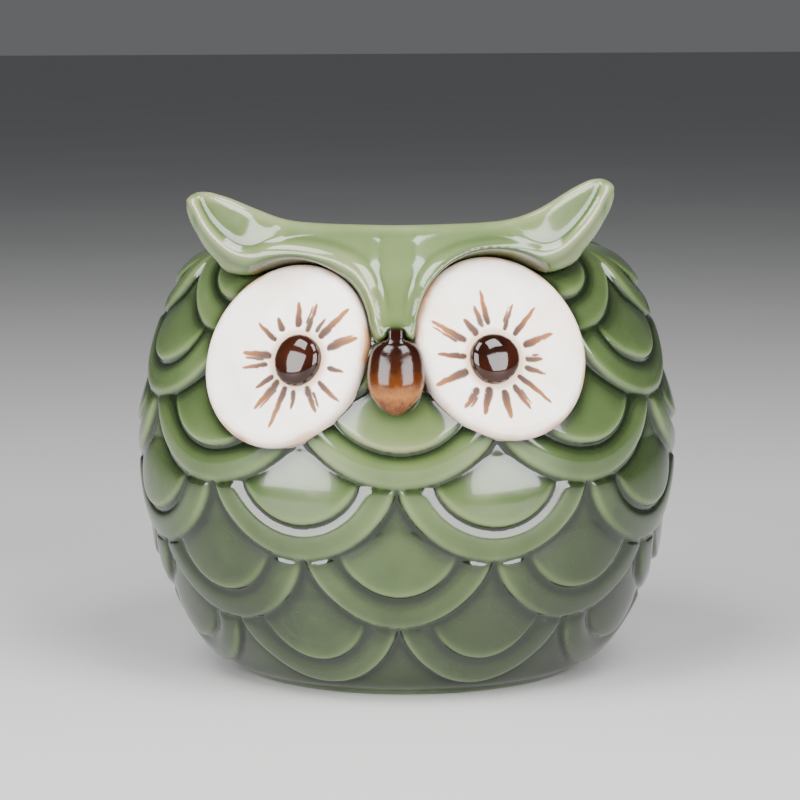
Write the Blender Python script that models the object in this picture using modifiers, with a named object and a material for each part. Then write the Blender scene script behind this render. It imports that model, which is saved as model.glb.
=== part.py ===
"""Glazed ceramic coin bank in the shape of an owl, with a rubber stopper in its base.

Frame: metres, +Z up, the face looks along -Y, +X is the viewer's right when facing the owl.
The origin is under the middle of the whole outline, on the table. The body's own axis stands a
little behind it, because the beak and the brows reach forward.
"""

import math

import bpy
from mathutils import Matrix, Vector

MM = 0.001

# The body's axis, behind the origin.
AXIS_Y = 2.0

# Body: an egg of revolution, cut level at the foot and at the head, then flattened front to back.
HALF_WIDTH = 70.0
DEPTH_RATIO = 0.90
EGG_HALF_HEIGHT = 81.0
EGG_CENTRE_Z = 59.0
HEAD_DECK_Z = 111.0
HEAD_ROUNDING = 8.0
FOOT_ROUNDING = 5.0
WALL = 4.5
FOOT_INNER_RADIUS = 39.0
FOOT_RECESS = 2.0
FLOOR_TOP_Z = 6.5
TURN_STEPS = 60

# Coin slot, through the head behind the crown.
SLOT_LENGTH = 38.0
SLOT_WIDTH = 5.0
SLOT_Y = 22.0

# Hole in the base and its rubber plug.
HOLE_RADIUS = 13.0
PLUG_CLEARANCE = 0.3
PLUG_FLANGE_RADIUS = 16.5
PLUG_FLANGE_THICKNESS = 1.1
PLUG_BOTTOM_Z = 0.6
PLUG_TOP_Z = 11.0
PLUG_GRIP_RADIUS = 8.5
PLUG_GRIP_DEPTH = 5.0
TAB_WIDTH = 13.0
TAB_THICKNESS = 2.0

# Face.
SEAM = 0.3
EYE_PLACES = {"left": (-28.3, 87.8), "right": (25.6, 89.8)}
EYE_RADIUS = 23.4
EYE_NARROW = 0.906
EYE_LEAN = 30.0
EYE_PROUD = 2.4
EYE_DISH = 0.5
EYE_DOME_RADIUS = 84.0
EYE_BACK = 8.0
EYE_RIM = 1.4
PUPIL_RADIUS = 6.1
PUPIL_PLACES = {"left": (5.3, -1.3), "right": (-3.0, -3.1)}
PUPIL_PROUD = 3.0
PUPIL_SEAT = 1.4
BEAK_WIDTH = 13.2
BEAK_TOP_Z = 93.5
BEAK_TIP_Z = 74.5
BEAK_Y = -60.9
BEAK_TILT = math.radians(14.0)

# Crown and tufts, one station for each step away from the middle:
# distance from the middle, lower edge, upper edge, front of the lower edge, front of the top, back.
CROWN_STATIONS = (
    (0.0, 92.5, 114.3, -61.5, -42.0, 6.0),
    (5.5, 93.5, 114.4, -61.0, -42.0, 6.0),
    (8.5, 102.0, 114.6, -58.0, -41.5, 5.5),
    (14.0, 107.5, 115.2, -55.5, -40.5, 5.0),
    (21.0, 109.3, 116.2, -53.5, -39.0, 4.0),
    (28.0, 109.2, 118.0, -52.0, -38.0, 2.0),
    (34.5, 107.6, 120.8, -50.5, -37.0, -1.0),
    (40.5, 106.8, 124.2, -47.0, -35.0, -5.0),
    (45.5, 108.8, 127.0, -42.5, -33.0, -9.0),
    (49.5, 112.5, 128.6, -37.5, -31.0, -13.0),
    (52.6, 117.0, 128.4, -33.0, -29.0, -18.0),
    (54.4, 121.0, 126.6, -29.0, -27.0, -22.0),
)


def clear_scene():
    for obj in list(bpy.data.objects):
        bpy.data.objects.remove(obj, do_unlink=True)


def new_collection(name):
    collection = bpy.data.collections.new(name)
    bpy.context.scene.collection.children.link(collection)
    return collection


def ceramic(name, colour, roughness):
    material = bpy.data.materials.new(name)
    material.use_nodes = True
    shader = material.node_tree.nodes["Principled BSDF"]
    shader.inputs["Base Color"].default_value = (*colour, 1.0)
    shader.inputs["Roughness"].default_value = roughness
    shader.inputs["Metallic"].default_value = 0.0
    shader.inputs["Coat Weight"].default_value = 0.0 if roughness > 0.4 else 0.6
    return material


def finish(obj, collection, material):
    for old in list(obj.users_collection):
        old.objects.unlink(obj)
    collection.objects.link(obj)
    if material:
        obj.data.materials.clear()
        obj.data.materials.append(material)
    return obj


def mesh_object(name, points, faces):
    mesh = bpy.data.meshes.new(name)
    mesh.from_pydata([tuple(c * MM for c in p) for p in points], [], faces)
    mesh.update()
    obj = bpy.data.objects.new(name, mesh)
    bpy.context.scene.collection.objects.link(obj)
    return obj


def applied(obj):
    """Replaces the object's mesh with its evaluated mesh, with every modifier applied."""
    graph = bpy.context.evaluated_depsgraph_get()
    graph.update()
    mesh = bpy.data.meshes.new_from_object(obj.evaluated_get(graph))
    old = obj.data
    obj.modifiers.clear()
    obj.data = mesh
    bpy.data.meshes.remove(old)
    return obj


def turned(name, profile, steps, depth_ratio=1.0):
    """A solid of revolution about Z from (radius, height) points, top to bottom down its outer side."""
    points = [(max(r, 0.0), 0.0, z) for r, z in profile]
    mesh = bpy.data.meshes.new(name)
    edges = [(i, i + 1) for i in range(len(points) - 1)]
    mesh.from_pydata([tuple(c * MM for c in p) for p in points], edges, [])
    obj = bpy.data.objects.new(name, mesh)
    bpy.context.scene.collection.objects.link(obj)
    screw = obj.modifiers.new("turn", "SCREW")
    screw.steps = steps
    screw.render_steps = steps
    screw.use_merge_vertices = True
    screw.merge_threshold = 0.00001
    screw.use_normal_calculate = False
    applied(obj)
    obj.data.transform(Matrix.Diagonal((1.0, depth_ratio, 1.0, 1.0)))
    obj.data.shade_smooth()
    obj.data.set_sharp_from_angle(angle=math.radians(35.0))
    return obj


def cut(obj, cutter, name, operation="DIFFERENCE"):
    boolean = obj.modifiers.new(name, "BOOLEAN")
    boolean.operation = operation
    boolean.solver = "EXACT"
    boolean.object = cutter
    return boolean


def as_cutter(obj, collection):
    finish(obj, collection, None)
    obj.hide_render = True
    obj.display_type = "WIRE"
    return obj


def blend_down(value, limit, width):
    """The lower of the two heights, rounded over the given width where they meet."""
    overlap = max(width - abs(value - limit), 0.0) / width
    return min(value, limit) - overlap * overlap * width / 4.0


def blend_up(value, limit, width):
    return -blend_down(-value, -limit, width)


def egg_radius(z, grow=0.0):
    share = (z - EGG_CENTRE_Z) / (EGG_HALF_HEIGHT + grow)
    return (HALF_WIDTH + grow) * math.sqrt(max(1.0 - share * share, 0.0))


def egg_front_y(x, z, grow=0.0):
    """The Y of the body's front surface at this X and Z."""
    radius = egg_radius(z, grow)
    return -DEPTH_RATIO * math.sqrt(max(radius * radius - x * x, 0.0))


def egg_normal(x, z):
    y = egg_front_y(x, z)
    across = HALF_WIDTH * HALF_WIDTH
    deep = across * DEPTH_RATIO * DEPTH_RATIO
    tall = EGG_HALF_HEIGHT * EGG_HALF_HEIGHT
    return Vector((x / across, y / deep, (z - EGG_CENTRE_Z) / tall)).normalized()


def outer_profile(grow, deck, count):
    """The body's outline from the middle of the head down to the foot ring."""
    points = []
    lowest = math.asin(-64.0 / EGG_HALF_HEIGHT)
    for i in range(count + 1):
        angle = math.pi / 2 + (lowest - math.pi / 2) * i / count
        r = (HALF_WIDTH + grow) * math.cos(angle)
        z = EGG_CENTRE_Z + (EGG_HALF_HEIGHT + grow) * math.sin(angle)
        z = blend_down(z, deck, HEAD_ROUNDING)
        z = blend_up(z, 0.0, FOOT_ROUNDING)
        points.append((r, z))
    return points


def inner_profile(count):
    """The cavity's outline from its floor up to the middle of the head."""
    points = []
    lowest = math.asin(-58.0 / (EGG_HALF_HEIGHT - WALL))
    for i in range(count + 1):
        angle = lowest + (math.pi / 2 - lowest) * i / count
        r = (HALF_WIDTH - WALL) * math.cos(angle)
        z = EGG_CENTRE_Z + (EGG_HALF_HEIGHT - WALL) * math.sin(angle)
        z = blend_down(z, HEAD_DECK_Z - WALL, HEAD_ROUNDING)
        z = blend_up(z, FLOOR_TOP_Z, FOOT_ROUNDING)
        points.append((r, z))
    return points


def build_body(parts, cutters):
    profile = outer_profile(0.0, HEAD_DECK_Z, 26)
    profile += [(FOOT_INNER_RADIUS, 0.0), (FOOT_INNER_RADIUS - 1.5, FOOT_RECESS)]
    profile += [(HOLE_RADIUS, FOOT_RECESS), (HOLE_RADIUS, FLOOR_TOP_Z)]
    profile += inner_profile(16)
    body = turned("body_shell", profile, TURN_STEPS, DEPTH_RATIO)
    round_hole(body)
    slot = slot_cutter(cutters)
    cut(body, slot, "coin_slot")
    glaze = ceramic("green_glaze", (0.24, 0.32, 0.15), 0.12)
    return finish(body, parts, glaze)


def round_hole(body):
    """Brings the base hole back to a circle after the body has been flattened front to back."""
    reach = (HOLE_RADIUS + 0.5) * MM
    for vertex in body.data.vertices:
        x, y, z = vertex.co
        if z < (FLOOR_TOP_Z + 0.5) * MM and math.hypot(x, y / DEPTH_RATIO) < reach:
            vertex.co.y = y / DEPTH_RATIO


def slot_cutter(cutters):
    """A rounded bar, as long and as wide as the coin slot."""
    bpy.ops.mesh.primitive_cube_add(size=1.0)
    slot = bpy.context.object
    slot.name = "slot_cutter"
    size = (SLOT_LENGTH * MM, SLOT_WIDTH * MM, 30.0 * MM)
    slot.data.transform(Matrix.Diagonal((*size, 1.0)))
    slot.data.transform(Matrix.Translation((0.0, SLOT_Y * MM, HEAD_DECK_Z * MM)))
    bevel = slot.modifiers.new("ends", "BEVEL")
    bevel.width = 2.2 * MM
    bevel.segments = 3
    bevel.limit_method = "ANGLE"
    return as_cutter(slot, cutters)


def clearance_solid(name, grow, cutters):
    """The body's whole outside, grown by a seam, to cut the backs of the pieces that sit on it."""
    profile = outer_profile(grow, HEAD_DECK_Z + grow, 26)
    profile.append((0.0, 0.0))
    solid = turned(name, profile, TURN_STEPS, DEPTH_RATIO)
    return as_cutter(solid, cutters)


def facing(x, z):
    """A matrix at the body's front surface whose Z axis points straight out of it."""
    normal = egg_normal(x, z)
    side = Vector((0.0, 0.0, 1.0)).cross(normal).normalized()
    up = normal.cross(side)
    turn = Matrix((side, up, normal)).transposed().to_4x4()
    place = Vector((x, egg_front_y(x, z), z)) * MM
    return Matrix.Translation(place) @ turn


def eye_drop(radius):
    """How far the disc's face falls back at this distance from its middle, as the head curves away."""
    return EYE_DOME_RADIUS - math.sqrt(EYE_DOME_RADIUS**2 - radius**2)


def eye_profile():
    """A shallow dish with a rolled rim, bent to follow the head."""
    points = []
    flat = EYE_RADIUS - 2.8
    for i in range(6):
        r = flat * i / 5
        points.append((r, EYE_PROUD - EYE_DISH * (1.0 - (r / flat) ** 4) - eye_drop(r)))
    edge = EYE_PROUD - eye_drop(EYE_RADIUS - EYE_RIM)
    for i in range(5):
        angle = math.pi / 2 * i / 4
        r = EYE_RADIUS - EYE_RIM + EYE_RIM * math.sin(angle)
        points.append((r, edge - EYE_RIM * (1 - math.cos(angle))))
    points.append((EYE_RADIUS, -EYE_BACK))
    points.append((0.0, -EYE_BACK))
    return points


def eye_seat(side):
    """The disc's place: an oval whose long axis leans towards the middle at its top."""
    x, z = EYE_PLACES[side]
    lean = math.radians(EYE_LEAN if x > 0 else -EYE_LEAN)
    return facing(x, z) @ Matrix.Rotation(lean, 4, "Z") @ Matrix.Diagonal((EYE_NARROW, 1.0, 1.0, 1.0))


def pupil_seat(side):
    """The pupil's place, set by hand a little off its disc's middle."""
    return facing(*EYE_PLACES[side]) @ Matrix.Translation(Vector((*PUPIL_PLACES[side], 0.0)) * MM)


def build_eye(side, body_clear, beak_clear, parts, cutters):
    disc = turned("eye_disc_" + side, eye_profile(), 48)
    disc.matrix_world = eye_seat(side)
    seat_profile = [(0.0, 20.0), (PUPIL_RADIUS + SEAM, 20.0)]
    seat_top = EYE_PROUD - EYE_DISH - PUPIL_SEAT
    seat_profile += [(PUPIL_RADIUS + SEAM, seat_top), (0.0, seat_top)]
    seat = turned("pupil_seat_" + side, seat_profile, 32)
    seat.matrix_world = pupil_seat(side)
    as_cutter(seat, cutters)
    cut(disc, body_clear, "back")
    cut(disc, beak_clear, "beak")
    cut(disc, seat, "pupil_seat")
    cream = ceramic("cream_glaze_" + side, (0.80, 0.74, 0.68), 0.18)
    finish(disc, parts, cream)
    build_pupil(side, seat_top + SEAM, parts)
    return disc


def build_pupil(side, base, parts):
    """A low glazed dome that stands near the middle of its disc."""
    rise = PUPIL_PROUD + PUPIL_SEAT
    profile = []
    for i in range(9):
        angle = math.pi / 2 * i / 8
        profile.append((PUPIL_RADIUS * math.sin(angle), base + rise * (0.3 + 0.7 * math.cos(angle))))
    profile += [(PUPIL_RADIUS, base), (0.0, base)]
    pupil = turned("pupil_" + side, profile, 32)
    pupil.matrix_world = pupil_seat(side)
    brown = ceramic("dark_brown_glaze_" + side, (0.035, 0.008, 0.004), 0.08)
    return finish(pupil, parts, brown)


def beak_form(name, grow):
    """A full drop with broad shoulders and a point below, set upright on the face."""
    tall = BEAK_TOP_Z - BEAK_TIP_Z
    outline = ((0.27, 0.01), (0.42, 0.09), (0.50, 0.24), (0.51, 0.40), (0.46, 0.56))
    outline += ((0.36, 0.72), (0.22, 0.87), (0.10, 0.96))
    profile = [(0.0, tall / 2 + grow)]
    profile += [(r * BEAK_WIDTH + grow, tall * (0.5 - down)) for r, down in outline]
    profile.append((0.0, -tall / 2 - grow))
    form = turned(name, profile, 32)
    middle = Vector((0.0, BEAK_Y, (BEAK_TOP_Z + BEAK_TIP_Z) / 2)) * MM
    form.matrix_world = Matrix.Translation(middle) @ Matrix.Rotation(-BEAK_TILT, 4, "X")
    return form


def build_beak(body_clear, parts):
    beak = beak_form("beak", 0.0)
    cut(beak, body_clear, "back")
    brown = ceramic("beak_brown_glaze", (0.12, 0.04, 0.015), 0.1)
    return finish(beak, parts, brown)


def crown_ring(station):
    """Ten points round the crown's section at one station, front lower edge first."""
    x, low, high, front_low, front_high, back = station
    lift = high - low
    under_y = min(front_low + 13.0, back - 3.0)
    return [
        (x, front_low, low + 0.12 * lift),
        (x, front_low * 0.62 + front_high * 0.38 - 2.8, low + 0.50 * lift),
        (x, front_low * 0.30 + front_high * 0.70 - 3.2, low + 0.82 * lift),
        (x, front_high - 3.0, high + 0.2),
        (x, front_high * 0.5 + back * 0.5 - 3.0, high + 0.7),
        (x, back - 3.5, high - 0.03 * lift),
        (x, back, high - 0.22 * lift),
        (x, back - 1.0, low + 0.35 * lift),
        (x, under_y * 0.6 + back * 0.4 - 1.0, low + 0.04 * lift),
        (x, front_low * 0.75 + under_y * 0.25 + 1.0, low - 0.4),
    ]


def crown_cage():
    """The right half of the crown as rings joined station by station, open at the middle plane."""
    rings = [crown_ring(station) for station in CROWN_STATIONS]
    points = [p for ring in rings for p in ring]
    count = len(rings[0])
    faces = []
    for i in range(len(rings) - 1):
        for j in range(count):
            a = i * count + j
            b = i * count + (j + 1) % count
            faces.append((a, b, b + count, a + count))
    last = (len(rings) - 1) * count
    faces.append(tuple(last + j for j in range(count)))
    return points, faces


def build_crown(body_clear, eye_clears, beak_clear, parts):
    points, faces = crown_cage()
    crown = mesh_object("crown_tufts", points, faces)
    mirror = crown.modifiers.new("halves", "MIRROR")
    mirror.use_axis[0] = True
    mirror.merge_threshold = 0.00001
    smooth = crown.modifiers.new("clay", "SUBSURF")
    smooth.levels = 1
    smooth.render_levels = 1
    cut(crown, body_clear, "seat")
    for clear in eye_clears:
        cut(crown, clear, "eye")
    cut(crown, beak_clear, "beak")
    crown.data.shade_smooth()
    glaze = ceramic("crown_green_glaze", (0.30, 0.37, 0.20), 0.12)
    return finish(crown, parts, glaze)


def eye_clearance(side, cutters):
    """The disc's whole outline, grown by a seam."""
    profile = [(r + (SEAM + 0.1 if r else 0.0), z + SEAM + 0.1) for r, z in eye_profile()]
    profile[-2] = (profile[-2][0], -EYE_BACK - 2.0)
    profile[-1] = (0.0, -EYE_BACK - 2.0)
    solid = turned("eye_clearance_" + side, profile, 48)
    solid.matrix_world = eye_seat(side)
    return as_cutter(solid, cutters)


def stopper_profile():
    """Flange, tapered plug with two sealing ribs, and a finger well underneath."""
    neck = HOLE_RADIUS - PLUG_CLEARANCE
    flange_top = PLUG_BOTTOM_Z + PLUG_FLANGE_THICKNESS
    well_top = PLUG_BOTTOM_Z + PLUG_GRIP_DEPTH
    return [
        (0.0, PLUG_TOP_Z),
        (neck - 3.0, PLUG_TOP_Z),
        (neck - 1.8, PLUG_TOP_Z - 1.0),
        (neck - 0.9, FLOOR_TOP_Z + 1.2),
        (neck, FLOOR_TOP_Z - 0.6),
        (neck - 0.7, FLOOR_TOP_Z - 1.6),
        (neck, FLOOR_TOP_Z - 2.6),
        (neck, flange_top),
        (PLUG_FLANGE_RADIUS - 0.4, flange_top),
        (PLUG_FLANGE_RADIUS, flange_top - 0.4),
        (PLUG_FLANGE_RADIUS, PLUG_BOTTOM_Z + 0.3),
        (PLUG_FLANGE_RADIUS - 0.4, PLUG_BOTTOM_Z),
        (PLUG_GRIP_RADIUS, PLUG_BOTTOM_Z),
        (PLUG_GRIP_RADIUS - 0.8, well_top),
        (0.0, well_top),
    ]


def build_stopper(parts, cutters):
    stopper = turned("base_stopper", stopper_profile(), 48)
    bpy.ops.mesh.primitive_cube_add(size=1.0)
    tab = bpy.context.object
    tab.name = "pull_tab"
    height = PLUG_GRIP_DEPTH + 0.6
    size = (TAB_WIDTH * MM, TAB_THICKNESS * MM, height * MM)
    tab.data.transform(Matrix.Diagonal((*size, 1.0)))
    middle = PLUG_BOTTOM_Z + 0.2 + height / 2
    tab.data.transform(Matrix.Translation((0.0, 0.0, middle * MM)))
    bevel = tab.modifiers.new("soft", "BEVEL")
    bevel.width = 0.6 * MM
    bevel.segments = 2
    as_cutter(tab, cutters)
    cut(stopper, tab, "pull_tab", "UNION")
    rubber = ceramic("stopper_rubber", (0.55, 0.53, 0.48), 0.6)
    return finish(stopper, parts, rubber)


def stand_on_axis(parts, cutters):
    """Hangs every piece on one empty that stands on the body's axis."""
    axis = bpy.data.objects.new("body_axis", None)
    parts.objects.link(axis)
    axis.location = (0.0, AXIS_Y * MM, 0.0)
    for obj in list(parts.objects) + list(cutters.objects):
        if obj is not axis:
            obj.parent = axis


def main():
    clear_scene()
    parts = new_collection("owl_coin_bank")
    cutters = new_collection("cutters")
    build_body(parts, cutters)
    body_clear = clearance_solid("body_clearance", SEAM, cutters)
    beak_clear = as_cutter(beak_form("beak_clearance", SEAM + 0.1), cutters)
    for side in EYE_PLACES:
        build_eye(side, body_clear, beak_clear, parts, cutters)
    eye_clears = [eye_clearance(side, cutters) for side in EYE_PLACES]
    build_beak(body_clear, parts)
    build_crown(body_clear, eye_clears, beak_clear, parts)
    build_stopper(parts, cutters)
    stand_on_axis(parts, cutters)


main()
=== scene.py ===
"""Finished look of the glazed owl coin bank: relief, glaze, stain, light and camera."""
import math

import bpy
import numpy as np
from mathutils import Matrix, Vector


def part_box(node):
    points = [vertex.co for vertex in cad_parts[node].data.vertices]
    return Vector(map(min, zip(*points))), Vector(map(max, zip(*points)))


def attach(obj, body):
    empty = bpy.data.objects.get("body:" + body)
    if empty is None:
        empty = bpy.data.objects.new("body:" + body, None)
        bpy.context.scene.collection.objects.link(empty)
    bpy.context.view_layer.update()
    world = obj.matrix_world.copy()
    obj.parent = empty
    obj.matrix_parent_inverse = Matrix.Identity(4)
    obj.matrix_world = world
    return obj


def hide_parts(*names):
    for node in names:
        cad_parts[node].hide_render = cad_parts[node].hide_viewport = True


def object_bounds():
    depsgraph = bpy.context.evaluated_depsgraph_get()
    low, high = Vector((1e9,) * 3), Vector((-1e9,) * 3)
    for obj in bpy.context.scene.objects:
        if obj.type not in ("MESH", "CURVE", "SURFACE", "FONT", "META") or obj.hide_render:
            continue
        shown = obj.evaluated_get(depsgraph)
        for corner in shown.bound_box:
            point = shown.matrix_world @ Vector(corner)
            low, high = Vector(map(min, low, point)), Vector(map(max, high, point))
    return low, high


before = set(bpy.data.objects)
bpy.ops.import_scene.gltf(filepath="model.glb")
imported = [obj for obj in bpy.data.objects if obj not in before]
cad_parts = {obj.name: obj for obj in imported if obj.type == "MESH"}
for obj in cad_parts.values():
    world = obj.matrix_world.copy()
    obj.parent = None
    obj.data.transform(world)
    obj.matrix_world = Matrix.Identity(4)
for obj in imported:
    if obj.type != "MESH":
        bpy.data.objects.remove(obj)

MM = 0.001
CAD_LOW, CAD_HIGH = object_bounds()


def node_box(name):
    """A CAD node's lowest and highest corners in millimetres."""
    low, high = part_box(name)
    return np.array(low) / MM, np.array(high) / MM


# ---- sizes, from the frame or the same as in the CAD
BODY_LOW, BODY_HIGH = node_box("body_shell")
HALF_WIDTH = (BODY_HIGH[0] - BODY_LOW[0]) / 2
DEPTH_RATIO = (BODY_HIGH[1] - BODY_LOW[1]) / (BODY_HIGH[0] - BODY_LOW[0])
AXIS = np.array([0.0, (BODY_HIGH[1] + BODY_LOW[1]) / 2, 0.0])
DECK = BODY_HIGH[2]
EGG_TALL = 0.7297 * DECK
EGG_Z = 0.5315 * DECK
DECK_ROUND = 8.0
FOOT_ROUND = 5.0
FOOT_SINE = -0.79  # the egg is cut off at this sine of its own angle
WALL = 4.5
FLOOR = 6.5
STOP_LOW, STOP_HIGH = node_box("base_stopper")
FLANGE = (STOP_HIGH[0] - STOP_LOW[0]) / 2
HOLE = FLANGE - 3.5
BEAK_LOW, BEAK_HIGH = node_box("beak")
SLOT_LENGTH, SLOT_WIDTH = 38.0, 5.0
SLOT_Y = 22.0
SLOT_ROUND = 1.6
SLOT_SIDES = 64
SLOT_BELOW, SLOT_ABOVE = 12.0, 6.0  # how far the cutter reaches from the deck

COLUMNS = 960
OUTLINE_STEPS = 6000
DECK_STEPS = 2200  # the first of them, where the radius still grows
RELIEF_SINK = 1.6  # the relief's zero lies this far under the CAD surface
RELIEF_FROM, RELIEF_FULL = 0.58, 0.76  # shares of the half width over which the relief fades in


def smooth(a, b, x):
    """A soft step from 0 at a to 1 at b."""
    t = np.clip((x - a) / (b - a), 0.0, 1.0)
    return t * t * (3.0 - 2.0 * t)


def lower_of(a, b, width):
    """The smaller of two fields, rounded over where they come within a width of each other."""
    lap = np.maximum(width - np.abs(a - b), 0.0) / width
    return np.minimum(a, b) - lap * lap * width / 4.0


def upper_of(a, b, width):
    """The larger of two fields, rounded in the same way."""
    return -lower_of(-a, -b, width)


def shaken(*key):
    """A repeatable number between -1 and 1 for a piece of handwork."""
    value = math.sin(sum(k * f for k, f in zip(key, (12.9898, 78.233, 37.719, 4.581)))) * 43758.5453
    return 2.0 * (value - math.floor(value)) - 1.0


# ---- mesh helpers
def make_object(name, points, faces, attributes=None):
    """A smooth-shaded mesh object from points in millimetres and arrays of quads or triangles."""
    groups = faces if isinstance(faces, list) else [faces]
    mesh = bpy.data.meshes.new(name)
    corners = np.concatenate([np.asarray(g, np.int32).ravel() for g in groups])
    sizes = np.concatenate([np.full(len(g), g.shape[1], np.int32) for g in groups])
    starts = np.concatenate([[0], np.cumsum(sizes)[:-1]]).astype(np.int32)
    mesh.vertices.add(len(points))
    mesh.vertices.foreach_set("co", (np.asarray(points) * MM).astype(np.float32).ravel())
    mesh.loops.add(len(corners))
    mesh.loops.foreach_set("vertex_index", corners)
    mesh.polygons.add(len(starts))
    mesh.polygons.foreach_set("loop_start", starts)
    mesh.polygons.foreach_set("use_smooth", np.ones(len(starts), bool))
    mesh.update(calc_edges=True)
    for key, values in (attributes or {}).items():
        layer = mesh.attributes.new(key, "FLOAT", "POINT")
        layer.data.foreach_set("value", np.asarray(values, np.float32).ravel())
    obj = bpy.data.objects.new(name, mesh)
    bpy.context.scene.collection.objects.link(obj)
    return obj


def closed_faces(rows, columns, flip=False):
    """Quads between rings of points, and fans from the first and the last ring to the two points
    that follow all the rings."""
    i = np.arange(rows - 1)[:, None] * columns
    j = np.arange(columns)
    k = (j + 1) % columns
    quads = np.stack([i + j, i + k, i + columns + k, i + columns + j], -1).reshape(-1, 4)
    if flip:
        quads, j, k = quads[:, ::-1], k, j
    last = (rows - 1) * columns
    first_fan = np.stack([np.full(columns, rows * columns), k, j], -1)
    last_fan = np.stack([np.full(columns, rows * columns + 1), last + j, last + k], -1)
    return [quads, first_fan, last_fan]


def blur(grid, sigma_rows, sigma_columns):
    """Gaussian blur; columns wrap round, rows end plainly."""
    rows = grid.shape[0]
    pad = int(4 * sigma_rows) + 1
    padded = np.pad(grid, ((pad, pad), (0, 0)), mode="edge")
    fr = np.fft.fftfreq(padded.shape[0])[:, None]
    fc = np.fft.rfftfreq(padded.shape[1])[None, :]
    kernel = np.exp(-2 * (math.pi ** 2) * ((fr * sigma_rows) ** 2 + (fc * sigma_columns) ** 2))
    out = np.fft.irfft2(np.fft.rfft2(padded) * kernel, s=padded.shape)
    return out[pad:pad + rows]


def soften(grid, sigma):
    """Gaussian blur with plain ends both ways."""
    pad = int(4 * sigma) + 1
    padded = np.pad(grid, ((0, 0), (pad, pad)), mode="edge")
    return blur(blur(padded, sigma, 0.0).T, sigma, 0.0).T[:, pad:-pad]


def relax(points, faces, rounds):
    """Even out a quad mesh by moving each point half way to the middle of its neighbours."""
    start, end = faces.ravel(), np.roll(faces, -1, 1).ravel()
    a, b = np.concatenate([start, end]), np.concatenate([end, start])
    count = np.maximum(np.bincount(a, minlength=len(points)), 1)[:, None]
    for _ in range(rounds):
        middle = np.stack([np.bincount(a, weights=points[b, i], minlength=len(points)) for i in range(3)], -1)
        points = 0.5 * points + 0.5 * middle / count
    return points


# ---- the egg
def egg_outline(half, tall, deck, foot, count):
    """Radius and height of the outline from the middle of the head to the foot ring."""
    angle = np.linspace(math.pi / 2, math.asin(FOOT_SINE), count)
    z = EGG_Z + tall * np.sin(angle)
    z = lower_of(z, np.full_like(z, deck), DECK_ROUND)
    z = upper_of(z, np.full_like(z, foot), FOOT_ROUND)
    return half * np.cos(angle), z


def egg_gap(p):
    """About how far a point is outside the egg, without its deck and foot."""
    r = np.array([HALF_WIDTH, HALF_WIDTH * DEPTH_RATIO, EGG_TALL])
    q = p - np.array([0.0, 0.0, EGG_Z])
    k0 = np.linalg.norm(q / r, axis=-1)
    k1 = np.linalg.norm(q / (r * r), axis=-1)
    return k0 * (k0 - 1.0) / np.maximum(k1, 1e-9)


def head_gap(p):
    """About how far a point is outside the head, deck included."""
    return upper_of(egg_gap(p), p[..., 2] - DECK, DECK_ROUND)


def front_y(x, z):
    """The egg's front surface: its y at a sideways place and a height."""
    share = (z - EGG_Z) / EGG_TALL
    r2 = HALF_WIDTH ** 2 * np.maximum(1 - share * share, 0.0)
    return -DEPTH_RATIO * np.sqrt(np.maximum(r2 - x * x, 0.0))


# ---- feathers
ROW_PITCH = 18.5
PITCH = 45.0  # degrees round the body from one feather of a row to the next
REACH = 24.5  # half of that pitch, in the feathers' own millimetres
CHEST_Z = DECK / 2
FEATHER_RADIUS = 25.5
CHEST_RADIUS = 29.5
BAND = 9.0  # width of the raised border
CREST_IN = 5.0  # where on it the border is highest
GROUND, BORDER_RISE = 0.25, 1.75


def one_feather(inside, u, v):
    """A rolled border round a pillowed panel that is sunk at its top and proud at its foot."""
    lip = np.sqrt(1.0 - (1.0 - np.clip(inside / 1.8, 0.0, 1.0)) ** 2)
    outer = 1.0 - 0.28 * ((CREST_IN - inside) / CREST_IN) ** 2
    inner = 1.0 - 0.75 * np.abs((inside - CREST_IN) / (BAND - CREST_IN)) ** 1.7
    border = GROUND + BORDER_RISE * np.where(inside < CREST_IN, outer, inner) * lip
    groove = GROUND + BORDER_RISE * 0.25
    down = np.clip((v - BAND) / 18.0, 0.0, 1.0)
    across = np.clip(np.abs(u) / 19.0, 0.0, 1.0)
    panel = 0.10 + 2.45 * (1.0 - down ** 1.35) * (1.0 - 0.40 * across ** 2.2)
    step = np.sqrt(1.0 - (1.0 - np.clip((inside - BAND) / 1.6, 0.0, 1.0)) ** 2)
    return np.where(inside < BAND, border, groove + (np.maximum(panel, groove - 0.5) - groove) * step)


def glaze_depth(inside):
    """How the glaze lies on a feather: thin on both edges, deep in the groove between them."""
    below_groove = np.where(inside < BAND, np.exp(-(BAND - inside) / 1.8), 0.0)
    panel_edge = np.where(inside > BAND, np.exp(-((inside - BAND - 0.9) / 0.7) ** 2), 0.0)
    outer_edge = np.exp(-((inside - 0.9) / 0.9) ** 2)
    return 0.50 * below_groove - 0.22 * panel_edge - 0.24 * outer_edge


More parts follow.
